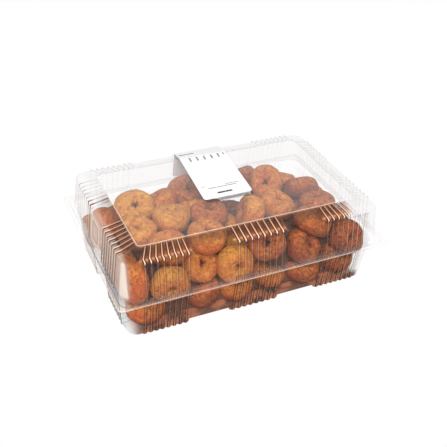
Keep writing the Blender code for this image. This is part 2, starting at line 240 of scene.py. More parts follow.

# What makes each doughnut uneven, its painted light from above and its painted shade
OVAL = (0.93, 1.02)
SQUASH = (0.94, 1.04)
LOBES = (3, 4, 5)
FOLD_AT = (0.006, 0.013)
FOLD_DEEP = (0.0, 0.0010, 0.0018)
FOLD_WIDTH = 0.0020
FOLD_WAVER = 0.004
FOLD_SHADOW = 220.0
TONE_SHIFT = (-0.25, 0.25)
NOISE_SHIFT = (-10.0, 10.0)
LUMP_RATE = 62.0
LUMP_HIGH = 0.0024
LUMP_SWELL = 0.10
FINE_RATE = 240.0
FINE_HIGH = 0.00060
PUCKER_HIGH = 0.0012
PUCKER_REACH = 0.0045
TONE_LEVEL = 0.45
TOP_LIGHT = 0.55
UNDER_SHADOW = 0.50

# Crust: a grain's size, detail and roughness, then the two levels between which it shows
BLOTCH = (0.013, 4.0, 0.65, 0.38, 0.62)
MOTTLE = (0.0052, 4.0, 0.75, 0.42, 0.60)
SPECK = (0.0030, 3.0, 0.7, 0.52, 0.64)
PIT = (0.0044, 3.0, 0.6, 0.54, 0.66)
PATCH_GRAIN = (0.018, 3.0, 0.6)
PATCH_TOP_LIGHT = 0.5
PATCH_FALL = 0.3
PATCH_LEVELS = (0.34, 0.58)
CRUST_GRAIN = (0.0030, 4.0, 0.7)

# Crust: how much of each shows
SHADOW_COLOUR_SHARE = 0.22
BLOTCH_DARK = 0.55
UNDER_SHADE = 0.60
MOST_DARK = 0.85
PATCH_LEAST = 0.08
PATCH_PALE = 0.60
MOTTLE_DARK = 0.42
SPECK_PALE = 0.34
PIT_DARK = 0.60
MOTTLE_HIGH = 0.5
PIT_LOW = 0.8
CORE_GRAIN = (0.012, 3.0)
CORE_SHADE_COLOURS = ((0.170, 0.068, 0.036), (0.060, 0.028, 0.018))

# Clear sheet by place: each pair, in metres, is where a share starts and where it is whole
EMPTY_BACK = (0.014, 0.040)
EMPTY_RIGHT = (0.139, 0.150)
FAR_SHOULDER_RIGHT = (0.114, 0.124)
FAR_SHOULDER_UP = (0.0985, 0.1005)
FRONT_WALL = (-0.076, -0.082)
FRONT_WALL_LEFT = (-0.157, -0.153)
LEFT_WALL = (-0.150, -0.157)
LEFT_WALL_UP = (0.059, 0.064)
NEAR_CORNER_LEFT = (-0.1542, -0.1565)
NEAR_CORNER_FRONT = (-0.084, -0.090)
END_WALLS = (0.150, 0.157)
RIGHT_GLOSS = (0.105, 0.125)
INNER_LEFT = (-0.152, -0.132)
INNER_RIGHT = (0.152, 0.142)
RIBBED_UP = (0.070, 0.060)
PALE_FOOD_UP = (0.030, 0.070)

# The framed recess in the middle of each end wall, drawn as a painted highlight along its line and painted
# shade just inside it
FRAME_HALF = (0.0125, 0.0135)
FRAME_Z = 0.080
FRAME_HIGHLIGHT_REACH = (0.0014, 0.0004)
FRAME_INSET = 0.0024
FRAME_SHADE_REACH = (0.0018, 0.0004)

# The label's painted shadow on the panel, just in front of it
LABEL_SHADE_EDGE = 0.002
LABEL_SHADE_AHEAD = 0.0025
LABEL_SHADE_REACH = (0.0048, 0.0012)
LABEL_SHADE_UP = (0.103, 0.106)

# Across one flute: the middle of its painted gleam and of the painted shade in its two grooves, and how far
# off they end and are whole
GLEAM_AT = 0.46
GLEAM_REACH = (0.11, 0.03)
GROOVE_AT = 0.64
GROOVE_REACH = (0.13, 0.03)
FINE_GROOVE_AT = 0.27
FINE_GROOVE_REACH = (0.09, 0.02)
FINE_GROOVE_SHARE = 0.6
GROOVED = (0.05, 0.30)

# Clear sheet: how strong each part of its finish is, with its painted highlights, painted shade, haze and
# painted sheen
RIGHT_GLEAM = 1.6
SIDE_GLEAM = 6.0
FRAME_GLEAM = 0.35
SIDE_GROOVE = 2.4
FRAME_DARK = 0.32
LABEL_DARK = 0.40
EMPTY_LOSS = 0.9
EMPTY_LIT_LOSS = 0.8
SLANT_VEIL = 0.56
SLANT_POWER = 2.9
FRONT_VEIL_LOSS = 0.9
EMPTY_VEIL_LOSS = 0.72
LEAST_VEIL = 0.004
SIDE_SHEEN = 0.17
EMPTY_VEIL = 0.078
CORNER_HIGHLIGHT_STRENGTH = 0.24
CORNER_HIGHLIGHT_SHARE = 0.8
DARK_ROOM = (0.5, 0.01)
MOST_SEEN = 0.94
LEAST_ROUGH = 0.08
MORE_ROUGH = 0.5
COAT = 0.3
BLOB = (0.020, 1.0, 0.5, 0.42, 0.56)
RIPPLE = (0.03, 1.0)

# Clear sheet: the colours of its painted highlights, of the painted highlight at the near corner, of the
# food it is painted to reflect, and of the painted shade in its grooves
GLEAM_COLOUR = (0.90, 0.72, 0.60)
CORNER_HIGHLIGHT_COLOUR = (1.0, 0.91, 0.80)
LOW_FOOD_COLOURS = ((0.140, 0.046, 0.020), (0.460, 0.150, 0.060))
HIGH_FOOD_COLOUR = (1.0, 0.42, 0.19)
GROOVE_SHADE_COLOUR = (0.050, 0.015, 0.008)

# Camera and light
PHOTO_PX = 447.0
FOCAL_PX = 695.4
CAMERA_AZIMUTH = math.radians(-27.12)
CAMERA_ELEVATION = math.radians(35.41)
CAMERA_ROLL = math.radians(3.98)
CAMERA_DISTANCE = 0.8937
CAMERA_ASIDE = (0.0044, 0.0431)
SENSOR_MM = 36.0
CLIP = (0.01, 20.0)
FLOOR_SIZE = 6.0
WORLD_STRENGTH = 0.55
CLEAR_BOUNCES = 24
KEY_PLACE = (-0.5, -1.0, 1.25)
KEY_AIM = (0.0, 0.0, 0.05)
KEY_SIZE = (0.6, 0.6)
KEY_POWER = 24.0


class BoxSizes(bpy.types.PropertyGroup):
    """Sizes that a user may change"""

    sheet: FloatProperty(
        name="Sheet", description="Thickness of the clear sheet", default=0.0005, unit="LENGTH", precision=5
    )
    doughnut: FloatProperty(
        name="Doughnut", description="Radius of a doughnut", default=0.0230, unit="LENGTH", precision=4
    )
    hole: FloatProperty(
        name="Hole", description="Radius of a doughnut's hole", default=0.0019, unit="LENGTH", precision=4
    )
    half_thick: FloatProperty(
        name="Half thickness", description="Half a doughnut's thickness",
        default=0.0130, unit="LENGTH", precision=4
    )
    paper: FloatProperty(
        name="Paper", description="Thickness of the label", default=0.0003, unit="LENGTH", precision=5
    )


class BoxColours(bpy.types.PropertyGroup):
    """Colours that a user may change"""

    golden: FloatVectorProperty(
        name="Golden", description="Palest crust", default=(0.70, 0.216, 0.036), subtype="COLOR", size=3
    )
    amber: FloatVectorProperty(
        name="Amber", description="Middle crust", default=(0.66, 0.150, 0.030), subtype="COLOR", size=3
    )
    russet: FloatVectorProperty(
        name="Russet", description="Darkest crust", default=(0.54, 0.103, 0.028), subtype="COLOR", size=3
    )
    clear: FloatVectorProperty(
        name="Clear sheet", description="Tint of the sheet",
        default=(0.86, 0.84, 0.84), subtype="COLOR", size=3
    )
    paper: FloatVectorProperty(
        name="Paper", description="Label paper", default=(0.93, 0.93, 0.92), subtype="COLOR", size=3
    )
    ink: FloatVectorProperty(
        name="Ink", description="Marks on the label", default=(0.03, 0.03, 0.035), subtype="COLOR", size=3
    )


# Shader maths


class Wire:
    """A number socket on which Python's own operators add Math nodes"""

    def __init__(self, paint, socket):
        self.paint = paint
        self.socket = socket

    def math(self, operation, *values):
        node = self.paint.node("Math", {"operation": operation}, dict(enumerate(values)))
        return Wire(self.paint, node.outputs[0])

    def __add__(self, other):
        return self.math("ADD", self, other)

    __radd__ = __add__

    def __mul__(self, other):
        return self.math("MULTIPLY", self, other)

    __rmul__ = __mul__

    def __sub__(self, other):
        return self.math("SUBTRACT", self, other)

    def __rsub__(self, other):
        return self.math("SUBTRACT", other, self)

    def __truediv__(self, other):
        return self.math("DIVIDE", self, other)

    def __pow__(self, other):
        return self.math("POWER", self, other)

    def __gt__(self, other):
        return self.math("GREATER_THAN", self, other)

    def __abs__(self):
        return self.math("ABSOLUTE", self)

    def least(self, other):
        return self.math("MINIMUM", self, other)

    def most(self, other):
        return self.math("MAXIMUM", self, other)

    def part(self):
        return self.math("FRACT", self)


class Paint:
    """A material whose nodes are added one call at a time"""

    def __init__(self, name):
        self.material = bpy.data.materials.new(name)
        self.material.use_nodes = True
        self.tree = self.material.node_tree
        self.tree.nodes.clear()

    def node(self, kind, settings=(), values=()):
        """Add a node: its settings first, then values or links for its sockets"""
        made = self.tree.nodes.new("ShaderNode" + kind)
        for key, value in dict(settings).items():
            setattr(made, key, value)
        for key, value in dict(values).items():
            self.feed(made.inputs[key], value)
        return made

    def feed(self, socket, value):
        if isinstance(value, Wire):
            self.tree.links.new(value.socket, socket)
        elif isinstance(value, bpy.types.NodeSocket):
            self.tree.links.new(value, socket)
        elif socket.type == "RGBA" and len(value) == 3:
            socket.default_value = (*value, 1.0)
        else:
            socket.default_value = value

    def wire(self, node, output=0):
        return Wire(self, node.outputs[output])

    def place(self):
        return self.node("TexCoord").outputs["Object"]

    def attribute(self, name):
        return self.wire(self.node("Attribute", {"attribute_name": name}), "Fac")

    def grain(self, size, detail, rough=0.5):
        """Noise with lumps of about this many metres, from 0 to 1"""
        values = {"Vector": self.place(), "Scale": 1.0 / size, "Detail": detail, "Roughness": rough}
        return self.wire(self.node("TexNoise", {"noise_dimensions": "3D"}, values), "Fac")

    def between(self, value, low, high):
        """0 below low, 1 above high, smooth between"""
        settings = {"interpolation_type": "SMOOTHSTEP"}
        return self.wire(self.node("MapRange", settings, {0: value, 1: low, 2: high, 3: 0.0, 4: 1.0}))

    def within(self, value, low, high, blur):
        """1 from low to high, 0 outside them, with soft ends"""
        return self.between(value, low - blur, low + blur) * self.between(value, high + blur, high - blur)

    def flecks(self, size, detail, rough, low, high):
        """Grain of which only what is above two levels shows"""
        return self.between(self.grain(size, detail, rough), low, high)

    def mix(self, share, first, second):
        """A colour between two: the sockets of colours follow those of numbers and vectors"""
        return self.node("Mix", {"data_type": "RGBA"}, {0: share, 6: first, 7: second}).outputs[2]

    def finish(self, shader):
        output = self.node("OutputMaterial")
        self.tree.links.new(shader, output.inputs["Surface"])
        return self.material


# Meshes


def add_piece(name, bm, material, body, replaced):
    """Make a finished piece of a bmesh, let it ride on a body and hide the frame's parts that it stands for
    """
    mesh = bpy.data.meshes.new(name)
    bm.to_mesh(mesh)
    bm.free()
    mesh.materials.append(material)
    piece = bpy.data.objects.new(name, mesh)
    bpy.context.scene.collection.objects.link(piece)
    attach(piece, body)
    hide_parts(*replaced)
    return piece


def smooth_but_edges(piece, degrees):
    mesh = piece.data
    mesh.shade_smooth()
    mesh.set_sharp_from_angle(angle=math.radians(degrees))


def side_marks(groups, ribs, flat_points):
    """Points along one side: place, crest, flat and foot from 0 to 1, and a running count of ribs"""
    marks = []
    flats = []
    for (start, end), (next_start, next_end) in zip(groups, groups[1:]):
        flats.append((end + GROUP_END, next_start - GROUP_END))
    for start, end in groups:
        pitch = (end - start) / ribs
        for index in range(ribs * RIB_POINTS + 1):
            count = index / RIB_POINTS
            crest = (0.5 - 0.5 * math.cos(2.0 * math.pi * count)) ** CREST_POWER
            marks.append((start + count * pitch, crest, 0.0, 1.0, count))
    for start, end in flats:
        marks.append((start - GROUP_END * GROUP_END_SHARE, 0.0, 0.0, HALF_FOOT, float(ribs)))
        marks.append((end + GROUP_END * GROUP_END_SHARE, 0.0, 0.0, HALF_FOOT, 0.0))
        for index in range(flat_points + 1):
            marks.append((start + (end - start) * index / flat_points, 0.0, 1.0, 0.0, 0.0))
    return sorted(marks)


def drawn_in(place, group, straight):
    """A place on a side, drawn in where its outer group would run on past the straight part"""
    start, end = group
    past = abs(place) - start
    if past <= 0.0 or end <= straight:
        return place
    return math.copysign(start + past * (straight - start) / (end - start), place)


LONG_MARKS = side_marks(LONG_GROUPS, LONG_RIBS, LONG_FLAT_POINTS)
SHORT_MARKS = side_marks(SHORT_GROUPS, SHORT_RIBS, SHORT_FLAT_POINTS)
MARKED = ("rib", "glint", "groove", "shine", "shade", "haze_and_sheen", "food_reflection")


class Station:
    """One closed outline of a shell: its sizes and height, how far its flutes stand out, and its painted
    highlights, painted shade, haze and painted reflection
    """

    KEYS = ("half_x", "half_y", "corner", "z", "rib_out", "rib_up", "flat_out", "off_foot",
            "glint", "groove", "shine", "shade", "haze_and_sheen", "food_reflection")

    def __init__(self, half, corner, z, round=0.0, **more):
        values = dict(more, half_x=half[0], half_y=half[1], corner=corner, z=z)
        self.values = np.array([float(values.get(key, 0.0)) for key in self.KEYS])
        self.round = round

    def points(self):
        """Places, and beside each place what its material reads"""
        (half_x, half_y, corner, z, rib_out, rib_up, flat_out, off_foot,
         glint, groove, shine, shade, haze_and_sheen, food_reflection) = self.values
        made = []
        for quarter in range(4):
            along, across = ((half_x, half_y), (half_y, half_x))[quarter % 2]
            group = (LONG_GROUPS[-1], SHORT_GROUPS[-1])[quarter % 2]
            side = []
            for place, crest, flat, foot, count in (LONG_MARKS, SHORT_MARKS)[quarter % 2]:
                place = drawn_in(place, group, along - corner - CORNER_ROOM)
                out = across + rib_out * crest + flat_out * flat * (quarter % 2)
                height = z + rib_up * crest + off_foot * (foot < WHOLE_FOOT)
                flutes = (count, glint * foot, groove * foot)
                side.append((place, -out, height, *flutes, shine, shade, haze_and_sheen, food_reflection))
            for step in range(CORNER_POINTS + 1):
                angle = math.radians(90.0 * step / CORNER_POINTS - 90.0)
                x = along - corner + corner * math.cos(angle)
                y = -across + corner + corner * math.sin(angle)
                side.append((x, y, z, 0.0, 0.0, 0.0, shine, shade, haze_and_sheen, food_reflection))
            turn = quarter * math.pi / 2.0
            cos, sin = round(math.cos(turn)), round(math.sin(turn))
            made += [(x * cos - y * sin, x * sin + y * cos, *rest) for x, y, *rest in side]
        return made


def blended(first, second, share):
    made = Station((0.0, 0.0), 0.0, 0.0)
    made.values = first.values * (1.0 - share) + second.values * share
    return made


def rounded(stations):
    """Round the profile at each station that asks for it, by a short curve"""
    made = [stations[0]]
    for before, here, after in zip(stations, stations[1:], stations[2:]):
        if not here.round:
            made.append(here)
            continue
        start = blended(here, before, reach(here, before, here.round))
        end = blended(here, after, reach(here, after, here.round))
        for step in range(BEND_STEPS + 1):
            share = step / BEND_STEPS
            made.append(blended(blended(start, here, share), blended(here, end, share), share))
    made.append(stations[-1])
    return made


def reach(here, other, length):
    """Share of the way to the next station that a given length takes, half at most"""
    apart = here.values[:4] - other.values[:4]
    span = math.sqrt(float((apart ** 2).sum()) - float(apart[2] ** 2))
    return min(BEND_SHARE, length / max(TINY_LENGTH, span))


def shell_sheet(stations):
    """An open sheet from the rim to its middle, with its painted highlights, painted shade, haze and
    painted reflection beside its points
    """
    bm = bmesh.new()
    layers = [bm.verts.layers.float.new(name) for name in MARKED]

    def settle(verts, points):
        for vert, (x, y, z, *values) in zip(verts, points):
            vert.co = (x, y, z)
            for layer, value in zip(layers, values):
                vert[layer] = value

    points = stations[0].points()
    verts = [bm.verts.new(point[:3]) for point in points]
    settle(verts, points)
    edges = [bm.edges.new((verts[i - 1], verts[i])) for i in range(len(verts))]
    for station in stations[1:]:
        made = bmesh.ops.extrude_edge_only(bm, edges=edges)["geom"]
        fresh = set(item for item in made if isinstance(item, bmesh.types.BMVert))
        verts = [next(edge.other_vert(vert) for edge in vert.link_edges if edge.other_vert(vert) in fresh)
                 for vert in verts]
        settle(verts, station.points())
        edges = [bm.edges.get((verts[i - 1], verts[i])) for i in range(len(verts))]
    bmesh.ops.contextual_create(bm, geom=edges)
    bmesh.ops.recalc_face_normals(bm, faces=bm.faces)
    return bm


def turn_up(bm):
    """Make the open sheet's largest face look up, so its thickness can go below it"""
    largest = max(bm.faces, key=lambda face: face.calc_area())
    if largest.normal.z < 0.0:
        bmesh.ops.reverse_faces(bm, faces=bm.faces)


def thicken(piece, thickness, offset):
    wall = piece.modifiers.new("thickness", "SOLIDIFY")
    wall.thickness = thickness
    wall.offset = offset


def add_shell(name, stations, material, body, node, thickness, offset):
    """Make a shell of its outlines: an open sheet first, then its thickness above or below"""
    bm = shell_sheet(rounded(stations))
    turn_up(bm)
    shell = add_piece(name, bm, material, body, (node,))
    smooth_but_edges(shell, SHARP_DEGREES)
    thicken(shell, thickness, offset)


# Materials


def clear_plastic(name, tint):
    """Clear sheet: paler at a slant, with painted highlights on its crests and rims, painted shade in its
    grooves over the food, a painted reflection of the food and a faint painted glow
    """
    paint = Paint(name)
    slant = paint.wire(paint.node("LayerWeight", {}, {"Blend": 0.5}), "Facing")
    split = paint.node("SeparateXYZ", {}, {0: paint.place()})
    right, back, above = paint.wire(split, 0), paint.wire(split, 1), paint.wire(split, 2)
    far_shoulder = paint.between(right, *FAR_SHOULDER_RIGHT) * paint.between(above, *FAR_SHOULDER_UP)
    empty = paint.between(back, *EMPTY_BACK).most(paint.between(right, *EMPTY_RIGHT)).most(far_shoulder)
    filled = 1.0 - empty
    near = paint.between(back, *FRONT_WALL) * paint.between(right, *FRONT_WALL_LEFT)
    side_height = paint.between(above, *LEFT_WALL_UP)
    side = paint.between(right, *LEFT_WALL) * side_height
    near_corner = paint.between(right, *NEAR_CORNER_LEFT) * paint.between(back, *NEAR_CORNER_FRONT)

    # Painted highlights: on the flutes' crests, the rims and the frame's line in each end wall
    phase = paint.attribute("rib").part()
    crest = paint.between(abs(phase - GLEAM_AT), *GLEAM_REACH)
    frame_edge = (abs(back) - FRAME_HALF[0]).most(abs(above - FRAME_Z) - FRAME_HALF[1])
    end_wall = paint.between(abs(right), *END_WALLS)
    frame_highlight = paint.between(abs(frame_edge), *FRAME_HIGHLIGHT_REACH) * end_wall
    end_gloss = 1.0 + RIGHT_GLEAM * paint.between(right, *RIGHT_GLOSS) + SIDE_GLEAM * side
    bright = paint.attribute("glint") * crest * end_gloss + paint.attribute("shine")
    bright = (bright + FRAME_GLEAM * frame_highlight) * (1.0 - EMPTY_LOSS * empty)

    # Painted shade: dark lines in the flutes' grooves that stand in for the food seen through them, painted
    # shade inside the frame's line, and the label's painted shadow on the panel
    dip = paint.between(abs(phase - GROOVE_AT), *GROOVE_REACH)
    dip = dip + FINE_GROOVE_SHARE * paint.between(abs(phase - FINE_GROOVE_AT), *FINE_GROOVE_REACH)
    dark = paint.attribute("groove") * dip * (1.0 + SIDE_GROOVE * side) + paint.attribute("shade")
    frame_shade = paint.between(abs(frame_edge + FRAME_INSET), *FRAME_SHADE_REACH) * end_wall
    half_width = LABEL_WIDTH / 2.0
    label_shade = paint.between(abs(right - LABEL_X), half_width, half_width - LABEL_SHADE_EDGE)
    ahead = abs(back - LABEL_FRONT_Y + LABEL_SHADE_AHEAD)
    label_shade = label_shade * paint.between(ahead, *LABEL_SHADE_REACH)
    label_shade = label_shade * paint.between(above, *LABEL_SHADE_UP)
    dark = dark + FRAME_DARK * frame_shade + LABEL_DARK * label_shade
    dark = dark * (1.0 - EMPTY_LOSS * empty)

    # Painted reflection: the food that the lower walls, the floor and the shoulder's ribs are painted to
    # reflect
    inner = paint.between(right, *INNER_LEFT) * paint.between(right, *INNER_RIGHT)
    ribbed = paint.between(paint.attribute("groove"), *GROOVED).most(paint.between(above, *RIBBED_UP))
    food_reflection = paint.attribute("food_reflection") * inner * ribbed * filled

    # Haze and sheen: the sheet's even haze, paler at a slant, with a painted sheen over the left wall and a
    # painted highlight down the near corner
    haze_and_sheen = SLANT_VEIL * slant ** SLANT_POWER * (1.0 - FRONT_VEIL_LOSS * near)
    haze_and_sheen = haze_and_sheen * (1.0 - EMPTY_VEIL_LOSS * empty) + paint.attribute("haze_and_sheen")
    haze_and_sheen = haze_and_sheen + LEAST_VEIL + SIDE_SHEEN * side * filled + EMPTY_VEIL * empty
    haze_and_sheen = haze_and_sheen + CORNER_HIGHLIGHT_STRENGTH * near_corner * side_height

    dark_share = dark / (dark + bright + DARK_ROOM[0] * haze_and_sheen + DARK_ROOM[1])
    # The painted highlights' colour, which the whole left wall also takes as painted sheen
    lit = (bright / (bright + haze_and_sheen)).most(side) * (1.0 - EMPTY_LIT_LOSS * empty.most(near_corner))
    food = paint.mix(paint.flecks(*BLOB), *LOW_FOOD_COLOURS)
    food = paint.mix(paint.between(above, *PALE_FOOD_UP), food, HIGH_FOOD_COLOUR)
    shade = paint.mix(lit, tint, GLEAM_COLOUR)
    # Painted highlight: a cream band down the near corner
    shade = paint.mix(CORNER_HIGHLIGHT_SHARE * near_corner, shade, CORNER_HIGHLIGHT_COLOUR)
    # Painted reflection of the food, then painted shade in the grooves, over the sheet's tint and painted
    # highlights
    shade = paint.mix(food_reflection / (food_reflection + bright + haze_and_sheen), shade, food)
    shade = paint.mix(dark_share, shade, GROOVE_SHADE_COLOUR)
    dull = bright.least(1.0)
    ripple = paint.grain(*RIPPLE)
    bump = paint.node("Bump", {}, {"Strength": 0.15, "Distance": 0.0006, "Height": ripple})
    shader = paint.node(
        "BsdfPrincipled",
        {},
        {
            "Base Color": shade,
            "Roughness": LEAST_ROUGH + MORE_ROUGH * dark_share.most(dull),
            "IOR": 1.36,
            "Coat Weight": COAT * (1.0 - dark_share) * (1.0 - dull),
            "Coat Roughness": 0.04,
            "Alpha": (haze_and_sheen + bright + dark + food_reflection).least(MOST_SEEN),
            # Emission: a faint painted glow in the sheet's own colour, standing in for the light it
            # reflects
            "Emission Color": shade,
            "Emission Strength": 0.14,
            "Normal": bump.outputs[0],
        },
    )
    return paint.finish(shader.outputs[0])


def crust(name, colour, dark, pale):
    """Fried cake crust: mottled, with painted light on its upward faces and painted shade in its hole,
    creases and underside
    """
    paint = Paint(name)
    tone_and_top_light = paint.attribute("tone_and_top_light")
    shadow = paint.attribute("shadow")
    blotch = paint.flecks(*BLOTCH)
    # Pale patches, more of them on upward faces as painted light
    patch = paint.between(paint.grain(*PATCH_GRAIN) + PATCH_TOP_LIGHT * tone_and_top_light - PATCH_FALL, *PATCH_LEVELS)
    mottle = paint.flecks(*MOTTLE)
    speck = paint.flecks(*SPECK)
    pit = paint.flecks(*PIT)
    shadow_colour = tuple(SHADOW_COLOUR_SHARE * part for part in dark)
    # Blotches, and painted shade on the underside
    blotches_and_under_shade = (BLOTCH_DARK * blotch + UNDER_SHADE * (1.0 - tone_and_top_light)).least(1.0) * MOST_DARK
    base = paint.mix(blotches_and_under_shade, colour, dark)
    base = paint.mix(patch * (PATCH_LEAST + PATCH_PALE * tone_and_top_light), base, pale)
    base = paint.mix(mottle * MOTTLE_DARK, base, dark)
    base = paint.mix(speck * SPECK_PALE, base, pale)
    base = paint.mix(pit * PIT_DARK, base, dark)
    # Painted shadow in the hole, folds and underside
    base = paint.mix(shadow.least(1.0) * MOST_DARK, base, shadow_colour)
    height = paint.grain(*CRUST_GRAIN) + MOTTLE_HIGH * mottle - PIT_LOW * pit
    bump = paint.node("Bump", {}, {"Strength": 1.0, "Distance": 0.0018, "Height": height})
    shader = paint.node(
        "BsdfPrincipled",
        {},
        {
            "Base Color": base,
            "Roughness": 0.52 + 0.2 * blotch,
            "IOR": 1.40,
            "Normal": bump.outputs[0],
        },
    )
    return paint.finish(shader.outputs[0])


# Doughnuts


def leaning(heading, tilt):
    """Unit direction of an axis that leans by a tilt towards a heading"""
    return (math.sin(tilt) * math.cos(heading), math.sin(tilt) * math.sin(heading), math.cos(tilt))


def first_places():
    """Those that show as listed, the rest drawn below them and apart"""
    draw = random.Random(SEED)
    places = [(x / 1000.0, y / 1000.0, z / 1000.0) for x, y, z, heading, tilt in SHOWN]
    axes = [leaning(math.radians(heading), math.radians(tilt)) for x, y, z, heading, tilt in SHOWN]
    tries = 0
    while len(places) < DOUGHNUT_COUNT:
        place = tuple(draw.uniform(low, high) for low, high in zip(DRAW_LOW, DRAW_HIGH))
        tries += 1
        if min(math.dist(place, other) for other in places) < DRAW_APART - tries * DRAW_EASE:
            continue
        places.append(place)
        axes.append(leaning(draw.uniform(-math.pi, math.pi), math.acos(draw.uniform(*DRAW_UPRIGHT))))
    return np.array(places), np.array(axes)


def ring_balls(places, axes, radius):
    """Centres of the balls that stand for each doughnut's ring"""
    upright = np.where(np.abs(axes[:, 2:3]) < 0.9, (0.0, 0.0, 1.0), (1.0, 0.0, 0.0))
    spoke_a = np.cross(upright, axes)
    spoke_a = spoke_a / np.sqrt((spoke_a ** 2).sum(1, keepdims=True))
    spoke_b = np.cross(axes, spoke_a)
    turn = np.arange(PUSH_BALLS) * 2.0 * math.pi / PUSH_BALLS
    cos, sin = np.cos(turn)[None, :, None], np.sin(turn)[None, :, None]
    spokes = cos * spoke_a[:, None, :] + sin * spoke_b[:, None, :]
    return places[:, None, :] + (radius - PUSH_R) * spokes


def wall_push(balls):
    """How far each ball is pushed back from the tray's and the lid's walls"""
    push = np.zeros_like(balls)
    heights = (0.0, SEAM_Z, LID_WALL_TOP_Z)
    slope = (SHOULDER_TOP_Z - LID_WALL_TOP_Z) / (LID_TOP_HALF[0] - SHOULDER_HALF[0])
    under_shoulder = np.zeros(balls.shape[:2])
    for direction in (0, 1):
        limits = [half[direction] for half in (TRAY_FOOT_HALF, TRAY_TOP_HALF, LID_TOP_HALF)]
        room = np.interp(balls[..., 2], heights, limits) - WALL_ROOM - PUSH_R
        off_middle = np.abs(balls[..., direction])
        push[..., direction] = -np.sign(balls[..., direction]) * np.clip(off_middle - room, 0.0, None)
        past = np.clip(off_middle + PUSH_R / 2.0 - SHOULDER_HALF[direction], 0.0, None)
        under_shoulder = np.maximum(under_shoulder, slope * past)
    below = np.clip(FLOOR_Z + PUSH_R - balls[..., 2], 0.0, None)
    above = np.clip(balls[..., 2] + PUSH_R - TOP_Z + under_shoulder, 0.0, None)
    push[..., 2] = below - above
    return push


def spread_doughnuts(radius):
    """Push the doughnuts apart, and off the walls, for a set number of steps; the ones that show barely
    move
    """
    places, axes = first_places()
    first, second = np.triu_indices(len(places), 1)
    drawn = (np.arange(len(places)) >= len(SHOWN))[:, None]
    ease = np.where(drawn, 1.0, HELD_SHARE)
    for step in range(SPREAD_STEPS):
        if step < SPREAD_STEPS * SINK_SHARE:
            places[:, 2:] -= SINK_STEP * drawn
        balls = ring_balls(places, axes, radius)
        apart = np.sqrt(((places[first] - places[second]) ** 2).sum(1))
        near = apart < 2.0 * radius
        one, two = first[near], second[near]
        gap = balls[one][:, :, None, :] - balls[two][:, None, :, :]
        gap_length = np.sqrt((gap ** 2).sum(3)) + TINY
        overlap = np.clip(2.0 * PUSH_R - gap_length, 0.0, None)
        shove = 0.5 * gap * (overlap / gap_length)[..., None]
        push = wall_push(balls)
        touches = 1.0 + (np.abs(push) > 0.0).sum((1, 2))
        push *= WALL_PUSH
        np.add.at(push, one, shove.sum(2))
        np.add.at(push, two, -shove.sum(1))
        np.add.at(touches, one, (overlap > 0.0).sum((1, 2)))
        np.add.at(touches, two, (overlap > 0.0).sum((1, 2)))
        share = 2.0 * ease / touches[:, None]
        turn = np.cross(balls - places[:, None, :], push).sum(1) / (radius - PUSH_R) ** 2
        places += share * push.sum(1)
        axes += np.cross(share * turn, axes)
        axes /= np.sqrt((axes ** 2).sum(1, keepdims=True))
    return places, axes


def doughnut_pattern(sizes):
    """One even doughnut, spun about its own axis"""
    bm = bmesh.new()
    bm.verts.layers.float.new("tone_and_top_light")
    shadow = bm.verts.layers.float.new("shadow")
    half_width = (sizes.doughnut - sizes.hole) / 2.0
    tube = []
    for index in range(TUBE_POINTS):
        angle = 2.0 * math.pi * index / TUBE_POINTS
        cos, sin = math.cos(angle), math.sin(angle)
        bulge = OUTER_BULGE if cos > 0.0 else INNER_BULGE
        out = sizes.hole + half_width + half_width * math.copysign(abs(cos) ** bulge, cos)
        height = sizes.half_thick * math.copysign(abs(sin) ** FACE_BULGE, sin)
        vert = bm.verts.new((out, 0.0, height))
        # Painted shade, darkest in the hole
        vert[shadow] = max(0.0, -cos) ** HOLE_SHADOW_POWER
        tube.append(vert)
    edges = [bm.edges.new((tube[i - 1], tube[i])) for i in range(len(tube))]
    bmesh.ops.spin(bm, geom=tube + edges, cent=(0, 0, 0), axis=(0, 0, 1),
                   angle=2.0 * math.pi, steps=ROUND_POINTS, use_merge=True)
    bmesh.ops.recalc_face_normals(bm, faces=bm.faces)
    mesh = bpy.data.meshes.new("doughnut_pattern")
    bm.to_mesh(mesh)
    bm.free()
    return mesh


def add_doughnuts(sizes, colours):
    places, axes = spread_doughnuts(sizes.doughnut)
    draw = random.Random(SEED + 1)
    kinds = [draw.choices((0, 1, 2), CRUST_SHARES)[0] for place in places]
    kinds[:len(SHOWN)] = [CRUSTS.index(letter) for letter in SHOWN_CRUST]
    darkest = tuple(DARKEST_SHARE * part for part in colours.russet)
    names = ("doughnuts_golden", "doughnuts_amber", "doughnuts_russet")
    tints = (colours.golden, colours.amber, colours.russet)
    darks = (colours.amber, colours.russet, darkest)
    pattern = doughnut_pattern(sizes)
    for kind, name in enumerate(names):
        bm = bmesh.new()
        for index, (place, axis) in enumerate(zip(places, axes)):
            if kinds[index] == kind:
                made = len(bm.verts)
                bm.from_mesh(pattern)
                bm.verts.ensure_lookup_table()
                shape_doughnut(bm, bm.verts[made:], sizes, index, place, axis)
        finish = crust(name, tints[kind], darks[kind], PALE_CRUSTS[kind])
        piece = add_piece(name, bm, finish, "base", ("doughnut_heap",))
        piece.data.shade_smooth()
    bpy.data.meshes.remove(pattern)


